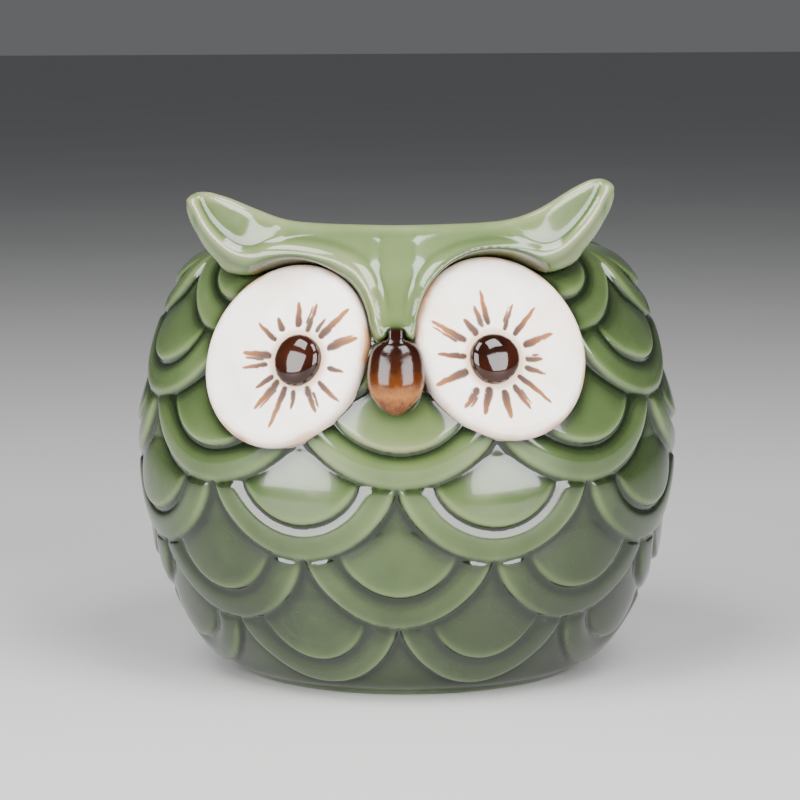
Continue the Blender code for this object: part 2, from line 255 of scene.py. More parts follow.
def feather_row(degrees, s, row, bottom):
    """For one row: how far inside the nearest feather's outline a point is, and its place on it."""
    shift = 0.0 if row % 2 == 0 else PITCH / 2
    nearest = np.round((degrees - shift) / PITCH)
    best = np.full(degrees.shape, -1e3)
    best_u = np.zeros(degrees.shape)
    best_v = np.zeros(degrees.shape)
    for step in (-1, 0, 1):
        centre = (nearest + step) * PITCH + shift
        wrapped = (centre + 180.0) % 360.0 - 180.0
        jitter = np.sin(np.round(wrapped / (PITCH / 2)) * 12.9898 + row * 78.233) * 43758.5453
        jitter = 2.0 * (jitter - np.floor(jitter)) - 1.0
        u = (degrees - centre) * REACH / (PITCH / 2) + 0.25 * jitter
        v = s - bottom + 0.4 * jitter
        radius = np.full(degrees.shape, FEATHER_RADIUS)
        if row == 0:
            chest = (np.abs(wrapped) < 60.0) & ((np.abs(wrapped) < 10.0) | (u * wrapped < 0))
            radius = np.where(chest, CHEST_RADIUS, radius)
        inside = np.where(v < radius, radius - np.hypot(u, v - radius), radius - np.abs(u))
        better = inside > best
        best = np.where(better, inside, best)
        best_u = np.where(better, u, best_u)
        best_v = np.where(better, v, best_v)
    return best, best_u, best_v


def feather_relief(theta, s, chest):
    """Height and glaze depth of the feathers, laid row on row from the foot up; the depth also carries
    painted shadow under each upper feather's lip.
    """
    degrees = np.degrees(theta)
    s = s + 0.3 * np.sin(3.0 * theta + s / 11.0) + 0.2 * np.sin(7.0 * theta - s / 6.0)
    height = np.full(theta.shape, 0.2)
    depth = np.zeros(theta.shape)
    under = np.full(theta.shape, 99.0)
    for row in range(3, -3, -1):
        inside, u, v = feather_row(degrees, s, row, chest - row * ROW_PITCH)
        share = smooth(-0.3, 0.3, inside)
        height += (one_feather(inside, u, v) - height) * share
        depth += (glaze_depth(inside) - depth) * share
        under = np.where(inside > 0, 99.0, np.minimum(under, -inside))
    # the darkening below each upper feather's lip is partly glaze pooled there and partly painted shadow cast
    # by the lip
    return height - 0.25 * np.exp(-under / 1.5), depth + 0.50 * np.exp(-under / 1.8)


# ---- body
def path_of(r, z):
    """Length along an outline, taken half way between its widest and its deepest section."""
    return np.concatenate([[0], np.cumsum(np.hypot(np.diff(r) * (1 + DEPTH_RATIO) / 2, np.diff(z)))])


def body_rows():
    """The body's section from the deck's middle down: radii, heights, normals, and path both ways."""
    r, z = egg_outline(HALF_WIDTH, EGG_TALL, DECK, 0.0, OUTLINE_STEPS)
    length = path_of(r, z)
    total = length[-1]
    side = np.interp(HALF_WIDTH * RELIEF_FULL, r[:DECK_STEPS], length[:DECK_STEPS])
    at = np.concatenate([np.linspace(1.2, side, 100, endpoint=False), np.linspace(side, total, 300)])
    rows_r, rows_z = np.interp(at, length, r), np.interp(at, length, z)
    step = 0.05
    tangent_r = np.interp(at + step, length, r) - np.interp(at - step, length, r)
    tangent_z = np.interp(at + step, length, z) - np.interp(at - step, length, z)
    size = np.hypot(tangent_r, tangent_z)
    normal_r, normal_z = -tangent_z / size, tangent_r / size
    return rows_r, rows_z, normal_r, normal_z, total - at, at


def slot_gap(x, y):
    """Distance outside the coin slot's outline, seen from above."""
    half = SLOT_LENGTH / 2 - SLOT_WIDTH / 2
    return np.hypot(np.maximum(np.abs(x) - half, 0.0), y - SLOT_Y) - SLOT_WIDTH / 2


def inside_rows():
    """The foot's recess, the base hole, and the cavity up to the middle of the head."""
    rows = [(40.5, 0.0, DEPTH_RATIO), (39.4, 0.15, DEPTH_RATIO), (38.6, 0.9, DEPTH_RATIO)]
    rows += [(37.4, 1.8, DEPTH_RATIO), (35.5, 2.0, DEPTH_RATIO)]
    for i in range(1, 8):
        t = i / 7
        rows.append((35.5 + (HOLE + 0.5 - 35.5) * t, 2.0, DEPTH_RATIO + (1 - DEPTH_RATIO) * t))
    rows += [(HOLE + 0.12, 2.15, 1.0), (HOLE, 2.5, 1.0), (HOLE, FLOOR - 0.5, 1.0)]
    rows += [(HOLE + 0.12, FLOOR - 0.12, 1.0), (HOLE + 0.5, FLOOR, 1.0)]
    r, z = egg_outline(HALF_WIDTH - WALL, EGG_TALL - WALL, DECK - WALL, FLOOR, 400)
    wall = [(a, b, DEPTH_RATIO) for a, b in zip(r[::-1], z[::-1]) if a > 1.0]
    wall = wall[::12]
    first = wall[0][0]
    for i in range(1, 5):
        t = i / 5
        rows.append((HOLE + 0.5 + (first - HOLE - 0.5) * t, FLOOR, 1 + (DEPTH_RATIO - 1) * t))
    return rows + wall


def near_face(p):
    """Distance from the crown, the eye discs and the beak, where glaze gathers."""
    gap = np.full(len(p), 20.0)
    front = p[:, 1] < 20.0
    high = front & (p[:, 2] > EYE_HEIGHT - 1.5 * EYE_RADIUS)
    q = p[high]
    crown = np.full(len(q), 20.0)
    top = q[:, 2] > DECK * 0.8
    crown[top] = crown_gap(q[top])
    nearest = np.minimum(np.where(q[:, 1] < 0, eye_gap(q), 20.0), crown)
    gap[high] = np.minimum(nearest, np.where(q[:, 1] < -30, beak_field(q), 20.0))
    return gap


def build_body():
    """The body outside and in, with how the glaze pools on it, painted shade towards its foot, its sides and
    under the feathers' lips, and which part is bare clay.
    """
    r, z, nr, nz, s, depth = body_rows()
    theta = np.linspace(-math.pi, math.pi, COLUMNS, endpoint=False)
    sine, cosine = np.sin(theta), np.cos(theta)
    polar = DEPTH_RATIO / np.hypot(DEPTH_RATIO * sine, cosine)
    x = r[:, None] * (polar * sine)[None, :]
    y = -r[:, None] * (polar * cosine)[None, :]
    flat = np.hypot(x, y / DEPTH_RATIO ** 2) + 1e-9
    nx, ny = nr[:, None] * x / flat, nr[:, None] * y / DEPTH_RATIO ** 2 / flat
    grid_theta = np.broadcast_to(theta[None, :], x.shape)
    grid_s = np.broadcast_to(s[:, None], x.shape)
    ring_r, ring_z = egg_outline(HALF_WIDTH, EGG_TALL, DECK, 0.0, OUTLINE_STEPS)
    low = ring_z < DECK * 0.9
    length = path_of(ring_r, ring_z)
    path = np.interp(-CHEST_Z, -ring_z[low], length[low])
    relief, glaze_and_lip_shadow = feather_relief(grid_theta, grid_s, length[-1] - path)
    relief = blur(relief, 1.0, 0.9)
    hollow = blur(relief, 3.6, 3.2) - relief
    wide = blur(relief, 9.0, 8.0) - relief
    fade = smooth(HALF_WIDTH * RELIEF_FROM, HALF_WIDTH * RELIEF_FULL, depth)[:, None]
    fade = smooth(0.0, 3.5, s)[:, None] * fade
    lift = (relief - RELIEF_SINK) * fade
    gap = slot_gap(x, y)
    edge = np.clip(1.0 - gap / SLOT_ROUND, 0.0, 1.0)
    on_deck = (z > DECK * 0.9)[:, None]
    lift = lift - on_deck * SLOT_ROUND * (1.0 - np.sqrt(1.0 - np.minimum(edge, 0.999) ** 2))
    px, py, pz = x + nx * lift, y + ny * lift, z[:, None] + nz[:, None] * lift
    outside = np.stack([px, py, pz], -1).reshape(-1, 3)
    hollow = np.where(hollow > 0, 0.55 * hollow, 0.35 * hollow)
    # painted shade: the glaze colour is pushed darker towards the foot and towards both sides, and more on
    # the +x side, standing in for the light falling off there
    painted_shade = 0.40 * smooth(74.0, 10.0, z)[:, None] + 0.22 * np.abs(sine)[None, :] ** 2
    painted_shade = painted_shade + 0.16 * np.maximum(sine, 0.0)[None, :] ** 2
    # this attribute holds the glaze's real pooling together with the painted shade above
    pool_and_shade = (hollow + wide * 0.15 + blur(glaze_and_lip_shadow, 0.8, 0.8) + painted_shade) * fade
    pool_and_shade = np.where(on_deck & (gap < 2.5), pool_and_shade - 0.5 * np.exp(-np.maximum(gap, 0) / 0.8), pool_and_shade)
    pool_and_shade = (pool_and_shade.reshape(-1) + 0.75 * np.exp(-np.maximum(near_face(outside), 0.0) / 1.5)).reshape(x.shape)
    rows = inside_rows()
    inner = np.array([np.stack([a * sine, -a * cosine * ratio, np.full(COLUMNS, b)], -1)
                      for a, b, ratio in rows])
    points = np.concatenate([outside, inner.reshape(-1, 3), [[0, 0, z[0]], [0, 0, rows[-1][1]]]])
    pool_and_shade_values = np.concatenate([pool_and_shade.ravel(), np.zeros(len(rows) * COLUMNS + 2)])
    inward = np.concatenate([np.zeros(len(r) * COLUMNS), np.ones(len(rows) * COLUMNS), [0, 1]])
    return points + AXIS, closed_faces(len(r) + len(rows), COLUMNS), pool_and_shade_values, inward


# ---- skins of distance fields
def skin(field, low, high, step, mirrored=False):
    """A closed quad mesh of a field's zero surface, by surface nets, then pulled onto it."""
    low, high = np.array(low, float), np.array(high, float)
    if mirrored:
        cells = int(math.ceil(high[0] / step))
        xs = np.arange(0, cells + 1) * step
        axes = [xs, np.arange(low[1], high[1], step), np.arange(low[2], high[2], step)]
    else:
        axes = [np.arange(a, b, step) for a, b in zip(low, high)]
    grid = np.stack(np.meshgrid(*axes, indexing="ij"), -1)
    value = field(grid.reshape(-1, 3)).reshape(grid.shape[:3])
    origin = np.array([axes[0][0], axes[1][0], axes[2][0]])
    if mirrored:
        value = np.concatenate([value[:0:-1], value], 0)
        origin[0] = -axes[0][-1]
    shape = value.shape
    inside = value < 0
    total = np.zeros((value.size, 3))
    hits = np.zeros(value.size)
    quads = []
    for d, e, f in ((0, 1, 2), (1, 2, 0), (2, 0, 1)):
        here, there = [slice(None)] * 3, [slice(None)] * 3
        here[d], there[d] = slice(0, -1), slice(1, None)
        here, there = tuple(here), tuple(there)
        change = inside[here] != inside[there]
        spot = np.argwhere(change)
        f0, f1 = value[here][change], value[there][change]
        point = spot.astype(float)
        point[:, d] += f0 / (f0 - f1)
        ring = []
        for de, df in ((0, 0), (-1, 0), (-1, -1), (0, -1)):
            cell = spot.copy()
            cell[:, e] += de
            cell[:, f] += df
            flat = np.ravel_multi_index(tuple(cell.T), shape)
            ring.append(flat)
            hits += np.bincount(flat, minlength=value.size)
            for axis in range(3):
                total[:, axis] += np.bincount(flat, weights=point[:, axis], minlength=value.size)
        ring = np.stack(ring, -1)
        outward = inside[here][change]
        quads.append(np.where(outward[:, None], ring, ring[:, ::-1]))
    quads = np.concatenate(quads)
    used, faces = np.unique(quads, return_inverse=True)
    points = origin + step * total[used] / hits[used][:, None]
    for _ in range(3):
        gradient, here = slope(field, points)
        size2 = np.maximum((gradient ** 2).sum(-1), 0.05)
        points = points - np.clip(here / size2, -step, step)[:, None] * gradient
    return points, faces.reshape(-1, 4)


def slope(field, points, h=0.05):
    """A field's gradient and value at some points."""
    gradient = np.empty_like(points)
    for axis in range(3):
        shift = np.zeros(3)
        shift[axis] = h
        gradient[:, axis] = (field(points + shift) - field(points - shift)) / (2 * h)
    return gradient, field(points)


def hollowness(field, points, h):
    """How hollow the surface is on the scale h: positive in creases, negative on ridges."""
    around = -6.0 * field(points)
    for axis in range(3):
        shift = np.zeros(3)
        shift[axis] = h
        around = around + field(points + shift) + field(points - shift)
    return -around / h


def curve_through(stations, count):
    """Points on a smooth Catmull-Rom curve through the stations."""
    s = np.array(stations, float)
    s = np.concatenate([[2 * s[0] - s[1]], s, [2 * s[-1] - s[-2]]])
    out = []
    for i in range(1, len(s) - 2):
        for t in np.linspace(0, 1, count, endpoint=False):
            a, b, c, d = s[i - 1], s[i], s[i + 1], s[i + 2]
            out.append(0.5 * (2 * b + (c - a) * t + (2 * a - 5 * b + 4 * c - d) * t * t
                              + (3 * b - a - 3 * c + d) * t ** 3))
    out.append(s[-2])
    return np.array(out)


# ---- where the face's parts sit
EYE_RADIUS = 23.4
EYE_NARROW = 0.906
EYE_LEAN = math.radians(30.0)
EYE_INSET = 20.0
EYE_RAISE = 0.62
EYE_PROUD = 2.4
EYE_DOME = 84.0


def eye_place(side):
    """Sideways place and height of an eye disc's middle on the egg, from its node's box."""
    low, high = node_box("eye_disc_right" if side > 0 else "eye_disc_left")
    outer = high[0] if side > 0 else low[0]
    return outer - side * EYE_INSET, (low[2] + high[2]) / 2 + EYE_RAISE


class Seat:
    """A place on the egg's front with its own sideways, upward and outward directions."""

    def __init__(self, x, z):
        """Take the egg's surface and its normal at a sideways place and a height."""
        self.middle = np.array([x, front_y(x, z), z])
        semi = np.array([HALF_WIDTH, HALF_WIDTH * DEPTH_RATIO, EGG_TALL])
        out = (self.middle - np.array([0, 0, EGG_Z])) / semi ** 2
        self.out = out / np.linalg.norm(out)
        side = np.cross([0, 0, 1.0], self.out)
        self.side = side / np.linalg.norm(side)
        self.up = np.cross(self.out, self.side)

    def local(self, p):
        """Points in the seat's own directions."""
        q = p - self.middle
        return q @ self.side, q @ self.up, q @ self.out

    def oval(self, u, v):
        """Distance from the middle, measured so that the disc's leaning oval is a circle."""
        lean = math.copysign(EYE_LEAN, self.middle[0])
        a = u * math.cos(lean) + v * math.sin(lean)
        b = -u * math.sin(lean) + v * math.cos(lean)
        return np.hypot(a / EYE_NARROW, b)

    def from_oval(self, r, angle):
        """Places on the disc at a radius and an angle of that circle."""
        lean = math.copysign(EYE_LEAN, self.middle[0])
        a, b = r * np.cos(angle) * EYE_NARROW, r * np.sin(angle)
        return a * math.cos(lean) - b * math.sin(lean), a * math.sin(lean) + b * math.cos(lean)

    def world(self, u, v, w):
        """The way back from the seat's own directions."""
        return (self.middle + np.multiply.outer(u, self.side) + np.multiply.outer(v, self.up)
                + np.multiply.outer(w, self.out))


RIGHT_EYE, LEFT_EYE = Seat(*eye_place(1)), Seat(*eye_place(-1))
EYE_HEIGHT = (RIGHT_EYE.middle[2] + LEFT_EYE.middle[2]) / 2


def eye_gap(p):
    """Distance outside the cylinders that the two eye discs stand in."""
    gaps = []
    for seat in (RIGHT_EYE, LEFT_EYE):
        u, v, _ = seat.local(p)
        gaps.append(seat.oval(u, v) - EYE_RADIUS)
    return np.where(p[..., 0] > 0, gaps[0], gaps[1])


# ---- crown
# the crest line of one brow and ear: sideways, height, depth and roundness
BROW = ((-2.0, 91.4, -59.0, 1.9), (2.2, 92.0, -59.4, 2.0), (4.3, 95.0, -59.4, 2.1),
        (5.0, 99.0, -58.4, 2.2), (6.8, 104.0, -56.8, 2.3), (10.2, 108.3, -55.0, 2.4),
        (16.0, 111.0, -53.4, 2.5), (23.0, 112.1, -51.7, 2.5), (30.5, 111.8, -49.6, 2.2),
        (35.2, 111.2, -47.9, 1.8), (39.6, 112.2, -45.8, 1.3), (43.6, 115.0, -43.8, 1.0),
        (47.0, 118.7, -42.0, 0.9), (49.4, 122.6, -40.6, 0.8), (50.4, 125.2, -39.8, 0.8))
# the crown's lower edge out to the ear's tip, and its upper edge back: sideways and height
LIP = ((7.0, 92.0), (9.6, 100.0), (13.5, 104.6), (21.0, 107.4), (30.0, 107.2), (34.6, 106.3),
       (39.0, 106.2), (42.4, 107.0), (45.8, 109.8), (49.4, 114.2), (52.0, 119.0), (53.1, 123.2),
       (52.5, 126.4), (50.2, 128.1))
RIM = ((50.2, 128.1), (47.0, 127.9), (43.4, 126.7), (40.8, 125.6), (34.6, 122.8), (27.0, 120.5),
       (20.0, 119.7), (10.0, 119.3), (0.0, 119.1), (-6.0, 119.1))
CROWN_THICK, CROWN_EDGE = 3.3, 1.5  # over the forehead, and at the thin edge behind
CROWN_BACK, CROWN_SAG = 6.0, 0.0078  # the back edge in the middle, and how it curves forward
CORNER_FROM, CORNER_CURVE, CORNER_POWER = 26.0, 0.10, 1.8
CROWN_TAPER = 16.0
CROWN_SUNK = 2.6
LAP_Y, LAP_Z = -42.0, 109.5  # behind and above these the crown lies on the deck
RIM_Y = -46.5
EAR_FROM, EAR_SWEEP, EAR_POWER = 28.0, 0.23, 1.15
EAR_THICK, BACK_SLOPE = 7.5, 1.45
FACET_RISE, FACET_REACH, FACET_LEAN = 1.8, 1.6, 0.05
RIGHT_EAR_LIFT, LEFT_EAR_DROP = 1.8, 1.2  # the two ears were not set alike
CROWN_SPACE = ((-58.0, -66.0, 86.0), (58.0, 10.0, 131.0))
CROWN_GRID = 0.45
EYE_SEAM, BEAK_SEAM = 0.3, 0.35


class Chart:
    """The crest line and the front outline of the crown, looked up by sideways place and height."""

    def __init__(self):
        """Fill the tables, then blur them so that the surfaces made from them have no creases."""
        self.step = 0.25
        self.low = np.array([-2.0, 82.0])
        xs = np.arange(self.low[0], 64.0, self.step)
        zs = np.arange(self.low[1], 140.0, self.step)
        x, z = np.meshgrid(xs, zs, indexing="ij")
        crest = curve_through(BROW, 5)
        gap, place = self.nearest(x, z, crest)
        edge = np.concatenate([curve_through(LIP, 4)[:-1], curve_through(RIM, 4), [[-6.0, 92.4]]])
        closed = np.concatenate([edge, edge[:1]])
        out, _ = self.nearest(x, z, np.column_stack([closed, closed]))
        inside = np.zeros(x.shape, bool)
        for (ax, az), (bx, bz) in zip(closed[:-1], closed[1:]):
            if az != bz:
                crosses = ((az > z) != (bz > z)) & (x < ax + (z - az) * (bx - ax) / (bz - az))
                inside ^= crosses
        out = np.where(inside, -np.abs(out), np.abs(out))
        tables = [gap, np.abs(gap), out, place[..., 0], place[..., 1]]
        self.table = np.stack([soften(table, 1.6) for table in tables], -1)

    @staticmethod
    def nearest(x, z, line):
        """Distance to a line, negative on its left, and the line's two last values there."""
        best = np.full(x.shape, 1e6)
        signed = np.zeros(x.shape)
        place = np.zeros(x.shape + (2,))
        for a, b in zip(line[:-1], line[1:]):
            dx, dz = b[0] - a[0], b[1] - a[1]
            t = np.clip(((x - a[0]) * dx + (z - a[1]) * dz) / (dx * dx + dz * dz + 1e-12), 0.0, 1.0)
            gap = np.hypot(x - a[0] - t * dx, z - a[1] - t * dz)
            left = dx * (z - a[1]) - dz * (x - a[0]) > 0
            closer = gap < best
            best = np.where(closer, gap, best)
            signed = np.where(closer, np.where(left, -gap, gap), signed)
            place[closer] = (a[2:4] + t[..., None] * (b[2:4] - a[2:4]))[closer]
        return signed, place

    def at(self, x, z):
        """The tables' values at some places, mixed from the four nearest cells."""
        u = np.clip((x - self.low[0]) / self.step, 0, self.table.shape[0] - 1.001)
        v = np.clip((z - self.low[1]) / self.step, 0, self.table.shape[1] - 1.001)
        i, j = u.astype(int), v.astype(int)
        fu, fv = (u - i)[:, None], (v - j)[:, None]
        t = self.table
        near = t[i, j] * (1 - fv) + t[i, j + 1] * fv
        far = t[i + 1, j] * (1 - fv) + t[i + 1, j + 1] * fv
        return (near * (1 - fu) + far * fu).T


CHART = Chart()
CREST = curve_through(BROW, 5)
TOP = curve_through(RIM[::-1], 5)


def crown_gap(p):
    """The crown without its cuts: a cap over the forehead, a brow over each eye, and two ears."""
    x, y, z = np.abs(p[:, 0]), p[:, 1], p[:, 2]
    crest, from_crest, outline, crest_y, crest_r = CHART.at(x, z)
    corner = CORNER_CURVE * np.maximum(x - CORNER_FROM, 0.0) ** CORNER_POWER
    edge = CROWN_BACK - CROWN_SAG * x ** 2 - corner
    thick = CROWN_EDGE + (CROWN_THICK - CROWN_EDGE) * smooth(edge + 1.0, edge - CROWN_TAPER, y)
    lap = upper_of(LAP_Y - y, LAP_Z - z, 2.0)
    cap = upper_of(head_gap(p) - thick, lower_of(crest, lap, 2.0), 3.0)
    cap = upper_of(cap, y - edge, 1.6)
    line_z, line_y = np.interp(x, CREST[:, 0], CREST[:, 1]), np.interp(x, CREST[:, 0], CREST[:, 2])
    top_z = np.interp(x, TOP[:, 0], TOP[:, 1])
    top_y = RIM_Y + EAR_SWEEP * np.maximum(x - EAR_FROM, 0.0) ** EAR_POWER
    up = np.clip((z - line_z) / np.maximum(top_z - line_z, 1.0), 0.0, 1.0)
    below = np.where(z < line_z, np.maximum(crest, 0.0), 0.0)
    climb = (top_y - line_y) * (1.0 - (1.0 - up) ** 1.5)
    rise = np.maximum(z - line_z, 0.0)
    facet = FACET_RISE * (1.0 - np.exp(-rise / FACET_REACH)) - FACET_LEAN * rise
    climb = climb + smooth(EAR_FROM, 40.0, x) * (facet - climb)
    front = line_y + climb + 0.25 * below + 0.10 * below ** 2
    back = top_y + EAR_THICK + BACK_SLOPE * np.maximum(top_z - z, 0.0)
    outline = outline + 0.22 * np.maximum(y - top_y, 0.0)
    ear = upper_of((front - y) / 1.2, outline, 2.4)
    ear = upper_of(ear, (y - back) / 1.75, 4.0)
    brow = np.hypot(from_crest, y - crest_y - crest_r) - crest_r
    return lower_of(lower_of(cap, ear, 5.0), brow, 1.8)


def crown_field(p):
    """The crown, clear of the head's surface, the eye discs and the beak."""
    whole = upper_of(crown_gap(p), -(head_gap(p) + CROWN_SUNK), 0.6)
    whole = upper_of(whole, EYE_SEAM - eye_gap(p), 1.0)
    return upper_of(whole, BEAK_SEAM - beak_field(p), 0.8)


def build_crown():
    """The crown's mesh and how the glaze pools on it."""
    points, faces = skin(crown_field, *CROWN_SPACE, CROWN_GRID)
    points = relax(points, faces, 3)
    pool_and_shade = hollowness(crown_gap, points, 1.4)
    pool_and_shade = np.where(pool_and_shade > 0, 0.42 * pool_and_shade, 0.34 * pool_and_shade)
    near = np.minimum(np.abs(head_gap(points)), np.minimum(eye_gap(points) - 0.5, beak_field(points)))
    pool_and_shade = pool_and_shade + 0.6 * np.exp(-np.maximum(near, 0.0) / 1.1)
    points[:, 2] += RIGHT_EAR_LIFT * smooth(32.0, 50.0, points[:, 0])
    points[:, 2] -= LEFT_EAR_DROP * smooth(-32.0, -50.0, points[:, 0])
    return points + AXIS, faces, pool_and_shade


# ---- beak
BEAK_MID_Z = (BEAK_LOW[2] + BEAK_HIGH[2]) / 2
BEAK_Y = (BEAK_LOW[1] + BEAK_HIGH[1]) / 2 - AXIS[1] - 0.7
BEAK_TILT = math.radians(14.0)
BEAK_SUNK = 1.5
BEAK_GRID = 0.22


def beak_field(p):
    """A full drop with square shoulders, a blunt tip and a small tab over its top."""
    q = p - np.array([0.0, BEAK_Y, BEAK_MID_Z])
    c, s = math.cos(BEAK_TILT), math.sin(BEAK_TILT)
    x = np.abs(q[:, 0])
    y = q[:, 1] * c - q[:, 2] * s
    z = q[:, 1] * s + q[:, 2] * c

    def drop(cy, cz, rx, ry, rz, square):
        k = np.sqrt((x / rx) ** 2 + np.abs((z - cz) / rz) ** square + ((y - cy) / ry) ** 2)
        return (k - 1.0) * min(rx, ry, rz)

    upper = drop(0.4, 1.2, 6.5, 4.9, 7.3, 3.4)
    lower = drop(0.2, -2.6, 5.5, 4.6, 6.8, 2.6)
    tip = np.sqrt(x * x + (y + 0.2) ** 2 + (z + 8.2) ** 2) - 1.5
    body = lower_of(lower_of(upper, lower, 3.0), tip, 2.4)
    box = np.stack([x - 1.1, np.abs(y + 0.4) - 1.8, np.abs(z - 8.6) - 1.2], -1)
    tab = np.linalg.norm(np.maximum(box, 0.0), axis=-1) - 0.6
    return lower_of(body, tab, 1.0)


def seated_beak(p):
    """The beak cut off a little inside the head."""
    return upper_of(beak_field(p), -(head_gap(p) + BEAK_SUNK), 0.4)


def build_beak():
    """The beak's mesh, one half mirrored, and how the glaze pools on it."""
    reach = np.array([1.5, 2.5, 2.5])
    low = BEAK_LOW - AXIS - reach
    points, faces = skin(seated_beak, [0, low[1], low[2]], BEAK_HIGH - AXIS + reach, BEAK_GRID, mirrored=True)
    near = np.exp(-np.maximum(head_gap(points), 0.0) / 1.2)
    return points + AXIS, faces, hollowness(beak_field, points, 0.8) * 0.4 + near * 0.5


# ---- eyes
PUPIL_RADIUS = 6.1
PUPIL_TALL = 2.9
PUPIL_LEAN = 1.4  # how far below its middle the dome is highest
PUPIL_FOOT = -0.5
PUPIL_COLUMNS = 160
DISC_COLUMNS = 640
DISC_RIM = 1.5
DISC_BACK = -4.2
DISH = 0.55
RAY_CUT = 0.14
# directions of the rays in degrees, counted from the disc's sideways direction
LEFT_RAYS = (97, 78, 62, 50, 25, -10, -40, -65, -92, -110, -130, -145, 190, 175, 145, 125)
RIGHT_RAYS = (95, 65, 45, 20, -3, -18, -38, -57, -78, -105, -125, -160, 172, 145, 122, 105)


def pupil_place(side):
    """Where the pupil's middle lies on its disc, sideways and upward."""
    low, high = node_box("pupil_right" if side > 0 else "pupil_left")
    u, v, _ = (RIGHT_EYE if side > 0 else LEFT_EYE).local((low + high) / 2 - AXIS)
    return u, v


def disc_height(r):
    """The disc's face: a shallow dish with a rolled rim, bent to follow the head."""
    flat = EYE_RADIUS - 2.8
    drop = EYE_DOME - np.sqrt(EYE_DOME ** 2 - np.minimum(r, EYE_RADIUS) ** 2)
    dish = DISH * (1.0 - np.minimum(r / flat, 1.0) ** 4)
    edge = np.clip((r - (EYE_RADIUS - DISC_RIM)) / DISC_RIM, 0.0, 1.0)
    return EYE_PROUD - drop - dish - DISC_RIM * (1.0 - np.sqrt(1.0 - edge ** 2))


def ray_stain(u, v, side):
    """Strength of the scratched, stained rays round a pupil at places on its disc."""
    pu, pv = pupil_place(side)
    du, dv = u - pu, v - pv
    reach = np.hypot(du, dv)
    stain = np.zeros(u.shape)
    for i, degrees in enumerate(RIGHT_RAYS if side > 0 else LEFT_RAYS):
        angle = math.radians(degrees)
        along = du * math.cos(angle) + dv * math.sin(angle)
        off = -du * math.sin(angle) + dv * math.cos(angle)
        start = 7.7 + 0.8 * shaken(i, side, 1)
        end = 15.0 + 3.0 * shaken(i, side, 2)
        t = np.clip((along - start) / (end - start), 0.0, 1.0)
        bend = 0.7 * shaken(i, side, 3) * (t - 0.3) ** 2 + 0.05 * np.sin(along * 1.9 + i)
        width = (0.84 + 0.2 * shaken(i, side, 4)) * (1.0 - 0.62 * t ** 1.5)
        width = width * (0.7 + 0.3 * np.minimum(t * 6, 1))
        ends = smooth(start - 0.5, start + 0.4, along) * smooth(end + 0.5, end - 0.9, along)
        line = np.exp(-((off - bend) / width) ** 2) * ends * (0.85 + 0.25 * shaken(i, side, 5))
        stain = np.maximum(stain, line)
        if i % 3 == 1:
            twin = off - bend - 0.95 - 0.3 * shaken(i, side, 6)
            ends = smooth(start + 1.2, start + 2.4, along) * smooth(end - 0.2, end - 1.8, along)
            stain = np.maximum(stain, 0.55 * np.exp(-(twin / (0.6 * width)) ** 2) * ends)
    return stain, reach


def build_disc(side):
    """One eye disc as a turned plate whose face carries the incised rays."""
    seat = RIGHT_EYE if side > 0 else LEFT_EYE
    columns = DISC_COLUMNS
    over = np.sin(np.linspace(0.06, math.pi / 2, 14))
    flat = np.linspace(0.15, EYE_RADIUS - DISC_RIM - 0.1, 128)
    radii = np.concatenate([flat, EYE_RADIUS - DISC_RIM * (1 - over)])
    angle = np.linspace(0, 2 * math.pi, columns, endpoint=False)
    u, v = seat.from_oval(radii[:, None], angle[None, :])
    height = np.broadcast_to(disc_height(radii)[:, None], u.shape)
    stain, reach = ray_stain(u, v, side)
    wave = 0.10 * np.sin(0.35 * u + 1.0 + side) * np.cos(0.3 * v)
    height = height - RAY_CUT * stain + wave
    face = seat.world(u, v, height)
    down = np.linspace(disc_height(EYE_RADIUS) - 0.6, DISC_BACK, 8)
    wall = [seat.world(*seat.from_oval(EYE_RADIUS, angle), np.full(columns, w)) for w in down]
    points = np.concatenate([face.reshape(-1, 3), np.array(wall).reshape(-1, 3)])
    rows = len(radii) + len(wall)
    centre = seat.world(np.zeros(2), np.zeros(2), np.array([height[0].mean(), DISC_BACK]))
    points = np.concatenate([points, centre])
    pad = np.zeros(len(wall) * columns + 2)
    near = np.concatenate([reach.ravel(), pad + 99.0])
    rim = np.concatenate([np.broadcast_to(radii[:, None] / EYE_RADIUS, u.shape).ravel(), pad + 1.0])
    rim[-2] = 0.0
    values = {"stain": np.concatenate([stain.ravel(), pad]), "near": near, "rim": rim}
    return points + AXIS, closed_faces(rows, columns, flip=True), values


def build_pupil(side):
    """A glazed dome standing on its disc, a little uneven as if set by hand."""
    seat = RIGHT_EYE if side > 0 else LEFT_EYE
    pu, pv = pupil_place(side)
    base = float(disc_height(seat.oval(pu, pv)))
    columns = PUPIL_COLUMNS
    angle = np.linspace(0, 2 * math.pi, columns, endpoint=False)
    tilt = np.linspace(0.02, math.pi / 2, 48)
    wobble = 1.0 + 0.02 * np.sin(2 * angle + side) + 0.012 * np.sin(3 * angle + 1)
    rows = []
    for t in tilt:
        r = PUPIL_RADIUS * math.sin(t) ** 0.92
        rows.append((r * wobble, PUPIL_TALL * math.cos(t) ** 0.9))
    rows.append((PUPIL_RADIUS * wobble * 1.01, PUPIL_FOOT))
    points = []
    for r, h in rows:
        drop = PUPIL_LEAN * max(0.0, 1.0 - float(np.mean(r)) / PUPIL_RADIUS)
        u, v = pu + r * np.cos(angle), pv - drop + r * np.sin(angle) * 1.02
        points.append(seat.world(u, v, base + np.full(columns, h)))
    ends = base + np.array([PUPIL_TALL, PUPIL_FOOT])
    top = seat.world(np.array([pu, pu]), np.array([pv - PUPIL_LEAN, pv]), ends)
    points = np.concatenate([np.array(points).reshape(-1, 3), top])
    return points + AXIS, closed_faces(len(rows), columns, flip=True)


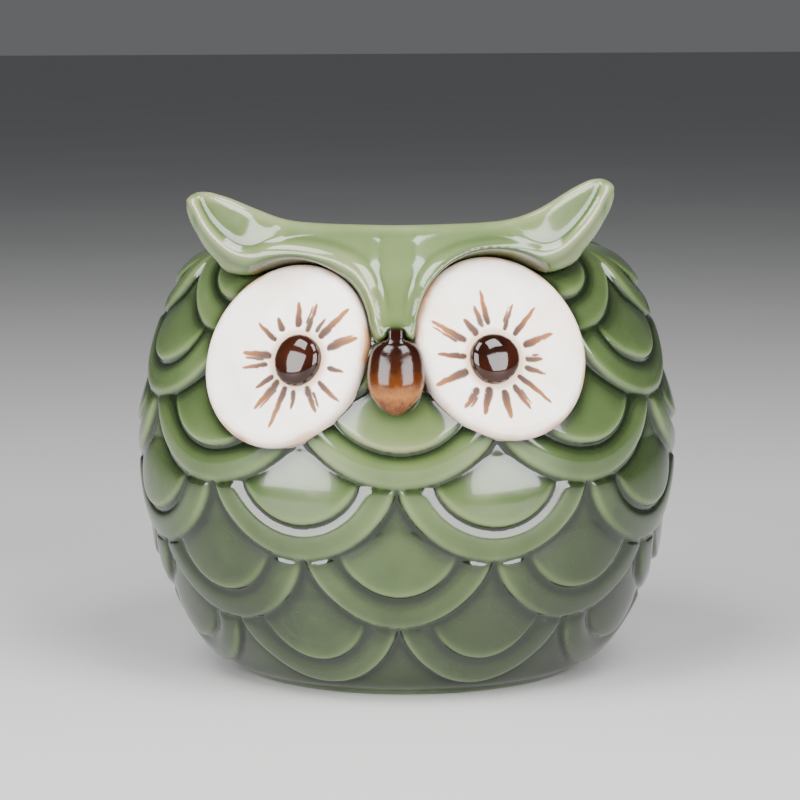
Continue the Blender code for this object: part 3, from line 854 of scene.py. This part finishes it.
# ---- materials
class Paint:
    """A node material under construction, with short calls for the nodes used here."""

    def __init__(self, name):
        self.mat = bpy.data.materials.new(name)
        self.mat.use_nodes = True
        self.nodes = self.mat.node_tree.nodes
        self.links = self.mat.node_tree.links
        self.shader = self.nodes["Principled BSDF"]

    def socket(self, node, slot, value):
        """Link an output to an input, or set the input to a constant."""
        if isinstance(value, bpy.types.NodeSocket):
            self.links.new(value, node.inputs[slot])
        elif value is not None:
            node.inputs[slot].default_value = value

    def add(self, kind, inputs, output, **settings):
        """A new node with its settings and inputs; gives back one of its outputs."""
        node = self.nodes.new("ShaderNode" + kind)
        for key, value in settings.items():
            setattr(node, key, value)
        for slot, value in inputs.items():
            self.socket(node, slot, value)
        return node.outputs[output]

    def set(self, **values):
        """Inputs of the main shader, their names written with underscores."""
        for key, value in values.items():
            self.socket(self.shader, key.replace("_", " "), value)

    def place(self):
        return self.add("TexCoord", {}, "Object")

    def attribute(self, name):
        return self.add("Attribute", {}, "Fac", attribute_name=name)

    def noise(self, scale, detail=2.0, rough=0.5):
        inputs = {"Vector": self.place(), "Scale": scale, "Detail": detail, "Roughness": rough}
        return self.add("TexNoise", inputs, "Fac")

    def cells(self, scale, feature="F1"):
        inputs = {"Vector": self.place(), "Scale": scale}
        return self.add("TexVoronoi", inputs, "Distance", feature=feature)

    def math(self, kind, a, b=None, c=None):
        return self.add("Math", {0: a, 1: b, 2: c}, 0, operation=kind)

    def spread(self, value, low, high, to_low=0.0, to_high=1.0):
        """A soft step of a value from one range to another."""
        inputs = dict(enumerate((value, low, high, to_low, to_high)))
        return self.add("MapRange", inputs, "Result", interpolation_type="SMOOTHSTEP")

    def ramp(self, value, stops):
        """Colours laid along a value."""
        node = self.nodes.new("ShaderNodeValToRGB")
        self.socket(node, "Fac", value)
        while len(node.color_ramp.elements) < len(stops):
            node.color_ramp.elements.new(0.5)
        for element, (position, colour) in zip(node.color_ramp.elements, stops):
            element.position = position
            element.color = (*colour, 1.0)
        return node.outputs["Color"]

    def mix(self, share, a, b, kind="MIX"):
        """Two colours, plain or as outputs, blended by a share."""
        a, b = [(*value, 1.0) if isinstance(value, tuple) else value for value in (a, b)]
        return self.add("Mix", {0: share, 6: a, 7: b}, 2, data_type="RGBA", blend_type=kind)

    def bump(self, height, distance, strength=1.0):
        inputs = {"Height": height, "Distance": distance, "Strength": strength}
        self.set(Normal=self.add("Bump", inputs, "Normal"))


def glaze_green(name, painted_top_light=0.0):
    """Translucent green glaze: pale where it runs thin over edges, dark where it pools and where painted
    shade has been added to this attribute; the second argument lightens it all as painted light.
    """
    p = Paint(name)
    # on the body, this attribute also carries painted shade towards the foot, the sides and under the
    # feathers' lips
    pool_and_shade = p.attribute("pool_and_shade")
    cloud = p.noise(34.0, 3.0, 0.55)
    streak = p.noise(150.0, 3.0, 0.6)
    # the second argument shifts the whole glaze lighter, as painted light
    shifted = p.math("MULTIPLY_ADD", pool_and_shade, 0.5, 0.42 - painted_top_light)
    shifted = p.math("MULTIPLY_ADD", cloud, 0.16, shifted)
    shifted = p.math("MULTIPLY_ADD", streak, 0.06, p.math("SUBTRACT", shifted, 0.03))
    colour = p.ramp(shifted, (
        (0.14, (0.31, 0.28, 0.17)), (0.30, (0.195, 0.212, 0.112)), (0.45, (0.108, 0.149, 0.058)),
        (0.58, (0.054, 0.084, 0.027)), (0.70, (0.020, 0.032, 0.010)), (0.88, (0.005, 0.010, 0.003))))
    warm = p.spread(p.noise(21.0, 2.0), 0.45, 0.72)
    colour = p.mix(p.math("MULTIPLY", warm, 0.35), colour, (1.12, 1.0, 0.84), "MULTIPLY")
    speck = p.spread(p.cells(420.0), 0.035, 0.06, 1.0, 0.0)
    gate = p.spread(p.noise(90.0, 1.0), 0.60, 0.66)
    colour = p.mix(p.math("MULTIPLY", p.math("MULTIPLY", speck, gate), 0.5), colour, (0.07, 0.09, 0.03))
    craze = p.spread(p.cells(170.0, "DISTANCE_TO_EDGE"), 0.0, 0.018, 1.0, 0.0)
    colour = p.mix(p.math("MULTIPLY", craze, 0.07), colour, (0.10, 0.12, 0.05))
    p.set(Base_Color=colour, IOR=1.46, Coat_Weight=0.35, Coat_Roughness=0.02, Coat_IOR=1.5)
    p.set(Roughness=p.spread(p.noise(55.0, 3.0), 0.3, 0.75, 0.10, 0.20))
    p.bump(p.math("ADD", p.noise(75.0, 2.0), p.math("MULTIPLY", p.noise(620.0, 1.0), 0.06)), 0.00022, 0.6)
    return p.mat


def bare_clay():
    """Unglazed biscuit inside the bank and on the ring that it stands on."""
    p = Paint("bare_clay")
    grain = p.noise(900.0, 3.0, 0.7)
    colour = p.ramp(p.noise(45.0, 4.0, 0.6), ((0.3, (0.62, 0.56, 0.47)), (0.7, (0.74, 0.69, 0.61))))
    colour = p.mix(p.spread(grain, 0.55, 0.75), colour, (0.50, 0.44, 0.36))
    p.set(Base_Color=colour, Roughness=p.spread(grain, 0.3, 0.7, 0.78, 0.92))
    p.bump(grain, 0.00012, 0.7)
    return p.mat


def glaze_cream():
    """Cream glaze over the discs, with the rays' iron stain and a toasted rim."""
    p = Paint("glaze_cream")
    cloud = p.noise(60.0, 4.0, 0.6)
    colour = p.ramp(cloud, (
        (0.30, (0.78, 0.66, 0.55)), (0.55, (0.88, 0.81, 0.73)), (0.75, (0.92, 0.87, 0.81))))
    rim = p.attribute("rim")
    ragged = p.math("MULTIPLY_ADD", p.noise(190.0, 3.0), 0.10, rim)
    toast = p.spread(ragged, 0.955, 1.04)
    blotch = p.spread(p.noise(70.0, 2.0), 0.42, 0.66)
    toast = p.math("MULTIPLY", toast, p.math("MULTIPLY_ADD", blotch, 0.65, 0.32))
    colour = p.mix(toast, colour, (0.44, 0.21, 0.09))
    near = p.attribute("near")
    halo = p.spread(near, 6.6, 8.6, 1.0, 0.0)
    colour = p.mix(p.math("MULTIPLY", halo, 0.7), colour, (0.46, 0.24, 0.10))
    stain = p.attribute("stain")
    worn = p.math("MULTIPLY", stain, p.spread(p.noise(420.0, 3.0, 0.6), 0.28, 0.52, 0.45, 1.0))
    smudge = p.math("MULTIPLY", p.spread(near, 15.5, 10.5), p.spread(p.noise(130.0, 3.0), 0.50, 0.74))
    colour = p.mix(p.math("MULTIPLY", smudge, 0.30), colour, (0.62, 0.40, 0.24))
    tone = p.mix(p.spread(near, 8.5, 16.0), (0.045, 0.012, 0.003), (0.26, 0.085, 0.018))
    colour = p.mix(p.spread(worn, 0.04, 0.42, 0.0, 0.97), colour, tone)
    speck = p.spread(p.cells(330.0), 0.04, 0.07, 1.0, 0.0)
    gate = p.spread(p.noise(110.0, 1.0), 0.62, 0.66)
    colour = p.mix(p.math("MULTIPLY", p.math("MULTIPLY", speck, gate), 0.7), colour, (0.40, 0.24, 0.12))
    p.set(Base_Color=colour, IOR=1.42, Coat_Weight=0.08, Coat_Roughness=0.06, Subsurface_Weight=0.0)
    p.set(Specular_IOR_Level=p.math("MULTIPLY_ADD", stain, -0.4, 0.45))
    rough = p.spread(cloud, 0.3, 0.7, 0.20, 0.32)
    p.set(Roughness=p.math("MULTIPLY_ADD", stain, 0.35, rough))
    p.bump(p.math("ADD", p.noise(160.0, 3.0), p.math("MULTIPLY", p.noise(900.0, 2.0), 0.15)), 0.00016, 0.6)
    return p.mat


def glaze_dark():
    """Near-black brown glaze of the pupils, mottled a little redder at random."""
    p = Paint("glaze_dark")
    height = p.noise(110.0, 3.0)
    colour = p.ramp(height, ((0.35, (0.010, 0.0022, 0.0010)), (0.68, (0.028, 0.006, 0.002))))
    p.set(Base_Color=colour, Roughness=p.spread(p.noise(80.0, 2.0), 0.3, 0.7, 0.06, 0.12))
    p.set(Coat_Weight=0.1, Coat_Roughness=0.02, IOR=1.46)
    p.bump(p.noise(240.0, 2.0), 0.00010, 0.5)
    return p.mat


def glaze_beak():
    """Brown glaze running from dark at the shoulders to honey at the tip."""
    p = Paint("glaze_beak")
    split = p.nodes.new("ShaderNodeSeparateXYZ")
    p.links.new(p.place(), split.inputs[0])
    low, high = BEAK_LOW[2] * MM, BEAK_HIGH[2] * MM
    down = p.spread(split.outputs["Z"], high, low)
    grain = p.noise(520.0, 4.0, 0.7)
    fall = p.math("MULTIPLY_ADD", p.math("SUBTRACT", grain, 0.5), 0.28, down)
    colour = p.ramp(fall, (
        (0.10, (0.010, 0.002, 0.0008)), (0.42, (0.030, 0.007, 0.0016)), (0.68, (0.085, 0.023, 0.004)),
        (0.86, (0.26, 0.095, 0.020)), (0.99, (0.09, 0.022, 0.005))))
    dark = p.spread(p.attribute("pool_and_shade"), 0.15, 0.6)
    colour = p.mix(p.math("MULTIPLY", dark, 0.8), colour, (0.03, 0.010, 0.005))
    p.set(Base_Color=colour, Roughness=p.spread(grain, 0.3, 0.7, 0.09, 0.18))
    p.set(Coat_Weight=0.1, Coat_Roughness=0.03, IOR=1.42)
    p.bump(grain, 0.00010, 0.5)
    return p.mat


def soft_rubber():
    """Milky rubber of the stopper, with a dusty mottle."""
    p = Paint("soft_rubber")
    dust = p.noise(260.0, 4.0, 0.65)
    colour = p.ramp(dust, ((0.3, (0.47, 0.45, 0.40)), (0.7, (0.60, 0.58, 0.53))))
    p.set(Base_Color=colour, Roughness=p.spread(dust, 0.3, 0.7, 0.48, 0.66), Subsurface_Weight=0.0)
    p.bump(p.noise(1400.0, 2.0), 0.00005, 0.6)
    return p.mat


def pale_floor():
    """A plain pale floor, barely mottled."""
    p = Paint("pale_floor")
    tone = p.noise(3.0, 3.0)
    p.set(Base_Color=p.ramp(tone, ((0.3, (0.46, 0.46, 0.455)), (0.7, (0.49, 0.49, 0.485)))), Roughness=0.6)
    return p.mat


# ---- putting it together
def dress(obj, node, material, body="bank"):
    """Show a finished piece, with its material, in place of its CAD node."""
    obj.data.materials.append(material)
    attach(obj, body)
    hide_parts(node)


def cut_slot(shell):
    """The coin slot through the head's flat top, as a real opening."""
    half = SLOT_LENGTH / 2 - SLOT_WIDTH / 2
    outline = []
    for i in range(SLOT_SIDES):
        angle = 2 * math.pi * (i + 0.5) / SLOT_SIDES
        x = SLOT_WIDTH / 2 * math.cos(angle) + math.copysign(half, math.cos(angle))
        outline.append((x, SLOT_WIDTH / 2 * math.sin(angle) + SLOT_Y))
    outline = np.array(outline)
    levels = (DECK - SLOT_BELOW, DECK + SLOT_ABOVE)
    rings = [np.column_stack([outline, np.full(SLOT_SIDES, z)]) for z in levels]
    ends = np.array([[0, SLOT_Y, z] for z in levels])
    points = np.concatenate(rings + [ends]) + AXIS
    cutter = make_object("slot_cutter", points, closed_faces(2, SLOT_SIDES))
    knife = shell.modifiers.new("slot", "BOOLEAN")
    knife.object = cutter
    knife.solver = "MANIFOLD"
    graph = bpy.context.evaluated_depsgraph_get()
    mesh = bpy.data.meshes.new_from_object(
        shell.evaluated_get(graph), preserve_all_data_layers=True, depsgraph=graph)
    shell.modifiers.clear()
    mesh.materials.clear()
    shell.data = mesh
    bpy.data.objects.remove(cutter, do_unlink=True)


def clay_inside(shell):
    """Give the recess, the hole and the cavity the unglazed clay."""
    mesh = shell.data
    inward = np.zeros(len(mesh.vertices), np.float32)
    mesh.attributes["inward"].data.foreach_get("value", inward)
    loops = np.zeros(len(mesh.loops), np.int32)
    mesh.loops.foreach_get("vertex_index", loops)
    starts = np.zeros(len(mesh.polygons), np.int32)
    mesh.polygons.foreach_get("loop_start", starts)
    lowest = np.minimum.reduceat(inward[loops], starts)
    mesh.polygons.foreach_set("material_index", (lowest > 0.5).astype(np.int32))
    mesh.polygons.foreach_set("use_smooth", np.ones(len(starts), bool))


def softbox(name, azimuth, elevation, width, height, energy, aim, distance=0.95):
    """A soft rectangular light that faces the aim from an azimuth and an elevation in degrees."""
    lamp = bpy.data.lights.new(name, "AREA")
    lamp.shape = "RECTANGLE"
    lamp.size, lamp.size_y, lamp.energy = width, height, energy
    obj = bpy.data.objects.new(name, lamp)
    bpy.context.scene.collection.objects.link(obj)
    a, e = math.radians(azimuth), math.radians(elevation)
    away = Vector((math.sin(a) * math.cos(e), -math.cos(a) * math.cos(e), math.sin(e)))
    obj.location = aim + away * distance
    obj.rotation_euler = away.to_track_quat("Z", "Y").to_euler()


def studio(centre):
    """Pale floor, faint pale world, and a low and a high soft box on either side of the front."""
    bpy.ops.mesh.primitive_plane_add(size=60.0, location=(0, 0, CAD_LOW[2]))
    floor = bpy.context.object
    floor.name = "floor"
    floor.data.materials.append(pale_floor())
    world = bpy.data.worlds.new("studio")
    world.use_nodes = True
    world.node_tree.nodes["Background"].inputs["Color"].default_value = (0.86, 0.88, 0.92, 1.0)
    world.node_tree.nodes["Background"].inputs["Strength"].default_value = 0.15
    bpy.context.scene.world = world
    for side, word in ((1, "right"), (-1, "left")):
        softbox(word + "_box", azimuth=side * 41.0, elevation=19.0, width=0.62, height=0.60,
                energy=17.5, aim=centre)
        softbox(word + "_high_box", azimuth=side * 46.0, elevation=58.0, width=0.40, height=0.40,
                energy=8.5, aim=centre)


def aim_camera():
    """The photograph's viewpoint: slightly above and to the right of the front."""
    data = bpy.data.cameras.new("camera")
    camera = bpy.data.objects.new("camera", data)
    bpy.context.scene.collection.objects.link(camera)
    target = Vector((-1.7 * MM, AXIS[1] * MM, 0.5405 * CAD_HIGH[2]))
    azimuth, elevation, distance = math.radians(2.4), math.radians(7.5), 0.72
    away = Vector((math.sin(azimuth) * math.cos(elevation), -math.cos(azimuth) * math.cos(elevation),
                   math.sin(elevation)))
    across_view = 0.21
    data.sensor_width = 36.0
    data.lens = data.sensor_width * distance / across_view
    roll = Matrix.Rotation(math.radians(-0.3), 4, "Z")
    turn = away.to_track_quat("Z", "Y").to_matrix().to_4x4()
    camera.matrix_world = Matrix.Translation(target + away * distance) @ turn @ roll
    bpy.context.scene.camera = camera


def main():
    """Build and dress every piece, then set the studio and the camera."""
    points, faces, pool_and_shade, inward = build_body()
    shell = make_object("glazed_body", points, faces, {"pool_and_shade": pool_and_shade, "inward": inward})
    cut_slot(shell)
    dress(shell, "body_shell", glaze_green("glaze_green"))
    shell.data.materials.append(bare_clay())
    clay_inside(shell)
    points, faces, pool_and_shade = build_crown()
    crown = make_object("glazed_crown", points, faces, {"pool_and_shade": pool_and_shade})
    # the crown's glaze is painted a little lighter, standing in for the light from above on the head
    dress(crown, "crown_tufts", glaze_green("glaze_green_crown", 0.02))
    cream, dark = glaze_cream(), glaze_dark()
    for side, word in ((1, "right"), (-1, "left")):
        points, faces, values = build_disc(side)
        disc = make_object("disc_" + word, points, faces, values)
        dress(disc, "eye_disc_" + word, cream)
        points, faces = build_pupil(side)
        dress(make_object("dome_" + word, points, faces), "pupil_" + word, dark)
    points, faces, pool_and_shade = build_beak()
    dress(make_object("glazed_beak", points, faces, {"pool_and_shade": pool_and_shade}), "beak", glaze_beak())
    stopper = bpy.data.objects["base_stopper"]
    for slot in stopper.material_slots:
        slot.material = soft_rubber()
    studio(Vector((0, 0, CAD_HIGH[2] / 2)))
    aim_camera()


main()
